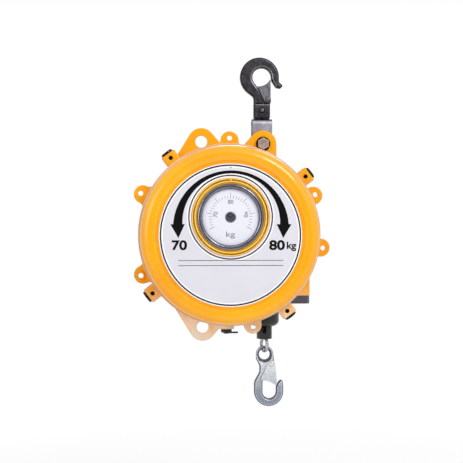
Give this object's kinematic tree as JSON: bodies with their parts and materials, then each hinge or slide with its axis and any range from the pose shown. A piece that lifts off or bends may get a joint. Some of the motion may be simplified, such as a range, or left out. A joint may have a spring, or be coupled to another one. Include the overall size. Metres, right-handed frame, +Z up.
{
  "type": "spring tool balancer",
  "caption": "Spring tool balancer with yellow-orange round housing, load dial, black snap hook on top and a zinc snap hook on a wire rope.",
  "frame": {"origin": "seat of the top hook: the inside top of its bowl, where the load bar bears", "axes": "+Z up, +Y into the balancer away from its dial face, +X to the right as seen at the dial"},
  "size_m": [0.3265, 0.1985, 0.5909],
  "materials": {
    "orange_paint": "gloss",
    "label_print": "satin",
    "bezel_metal": "satin",
    "dial_face": "satin",
    "black_steel": "satin",
    "zinc_steel": "zinc plated",
    "yoke_steel": "satin",
    "dark_steel": "satin",
    "bolt_steel": "dull",
    "black_plastic": "satin",
    "rubber": "gloss",
    "rope_wire": "stranded",
    "cast_aluminium": "as cast",
    "spring_steel": "blued",
    "bronze": "machined",
    "grey_paint": "satin"
  },
  "bodies": {
    "top_hook": {"top_hook": "black_steel", "swivel_stud": "dark_steel", "swivel_pin": "dark_steel", "top_latch_rivet": "dark_steel", "top_latch_spring": "spring_steel"},
    "top_latch": {"top_latch": "dark_steel"},
    "yoke": {"yoke": "yoke_steel", "swivel_washer": "black_steel"},
    "housing": {"main_housing": "orange_paint", "front_cover": "orange_paint", "label_plate": "label_print", "dial_bezel": "bezel_metal", "counter_pin": "dark_steel", "arbor_bushes": "bronze", "worm_bushes": "bronze", "worm_end_plate": "grey_paint", "end_plate_screws": "dark_steel", "clamp_bolts": "black_steel", "set_screws": "dark_steel", "suspension_bolt": "bolt_steel", "suspension_nut": "bolt_steel", "suspension_washers": "bolt_steel", "pivot_bush": "bronze", "rope_guide": "black_plastic", "rear_cap": "grey_paint", "rear_cap_screws": "zinc_steel"},
    "drum": {"rope_drum": "cast_aluminium", "case_lid": "cast_aluminium", "lid_screws": "zinc_steel", "drum_bearings": "bezel_metal", "rope_on_drum": "rope_wire", "spring_outer_pin": "dark_steel", "rope_anchor_screw": "zinc_steel"},
    "rope": {"rope_run": "rope_wire", "stop_sleeve": "rubber", "rope_ferrule": "zinc_steel", "rope_eye": "rope_wire"},
    "load_hook": {"load_hook": "zinc_steel", "load_latch_rivet": "zinc_steel", "load_latch_spring": "spring_steel"},
    "load_latch": {"load_latch": "zinc_steel"},
    "arbor": {"arbor_shaft": "dark_steel", "wheel_key": "dark_steel", "worm_wheel": "bronze", "dial_pinion": "bronze", "arbor_circlip": "spring_steel", "spring_inner_pin": "dark_steel", "main_spring": "spring_steel"},
    "worm": {"worm_shaft": "dark_steel"},
    "counter": {"counter_gear": "bronze"},
    "dial": {"dial_gear": "bronze", "dial_plate": "dial_face", "dial_screw": "dark_steel"},
    "lock": {"lock_plunger": "dark_steel", "lock_knob": "black_plastic", "lock_spring": "spring_steel"}
  },
  "joints": [
    {"name": "hook_swivel", "type": "hinge", "parent": "top_hook", "child": "yoke", "pos_m": [0, 0, -0.0748], "axis": [0, 0, 1], "continuous": true},
    {"name": "top_latch_pivot", "type": "hinge", "parent": "top_hook", "child": "top_latch", "pos_m": [0.0104, 0, -0.0525], "axis": [0, -1, 0], "range_deg": [0, 35], "stiffness_Nm_per_rad": 0.05, "springref_deg": -34.38},
    {"name": "yoke_pivot", "type": "hinge", "parent": "yoke", "child": "housing", "pos_m": [0, 0, -0.1298], "axis": [0, 1, 0], "range_deg": [-35, 35]},
    {"name": "drum_spin", "type": "hinge", "parent": "housing", "child": "drum", "pos_m": [-0.0585, 0.004, -0.2518], "axis": [0, 1, 0], "range_deg": [0, 1620], "stiffness_Nm_per_rad": 0.82, "springref_deg": -3300.24, "deforming": ["main_spring"]},
    {"name": "rope_payout", "type": "slide", "parent": "housing", "child": "rope", "axis": [0, 0, -1], "range_m": [0, 2.1], "deforming": ["rope_run"]},
    {"name": "load_hook_swing", "type": "hinge", "parent": "rope", "child": "load_hook", "pos_m": [0.0048, 0, -0.4798], "axis": [0, 1, 0], "range_deg": [-45, 45]},
    {"name": "load_latch_pivot", "type": "hinge", "parent": "load_hook", "child": "load_latch", "pos_m": [0.0166, 0, -0.5014], "axis": [0, 1, 0], "range_deg": [0, 30], "stiffness_Nm_per_rad": 0.05, "springref_deg": -34.38},
    {"name": "arbor_spin", "type": "hinge", "parent": "housing", "child": "arbor", "pos_m": [-0.0585, 0.044, -0.2518], "axis": [0, 1, 0], "range_deg": [0, 435.6]},
    {"name": "worm_spin", "type": "hinge", "parent": "housing", "child": "worm", "pos_m": [0.0603, 0.057, -0.2518], "axis": [0, 0, 1], "range_deg": [0, 25264.8]},
    {"name": "counter_spin", "type": "hinge", "parent": "housing", "child": "counter", "pos_m": [-0.0585, -0.094, -0.2768], "axis": [0, 1, 0], "range_deg": [-186.7, 0]},
    {"name": "dial_spin", "type": "hinge", "parent": "housing", "child": "dial", "pos_m": [-0.0585, -0.096, -0.2518], "axis": [0, 1, 0], "range_deg": [0, 80.01]},
    {"name": "lock_push", "type": "slide", "parent": "housing", "child": "lock", "axis": [0, 0, 1], "range_m": [0, 0.008], "stiffness_N_per_m": 400, "springref_m": -0.01, "deforming": ["lock_spring"]}
  ],
  "couplings": [
    {"joint": "rope_payout", "follows": "drum_spin", "m_per_rad": 0.074272},
    {"joint": "worm_spin", "follows": "arbor_spin", "ratio": 58},
    {"joint": "counter_spin", "follows": "arbor_spin", "ratio": -0.42857},
    {"joint": "dial_spin", "follows": "arbor_spin", "ratio": 0.18367}
  ]
}
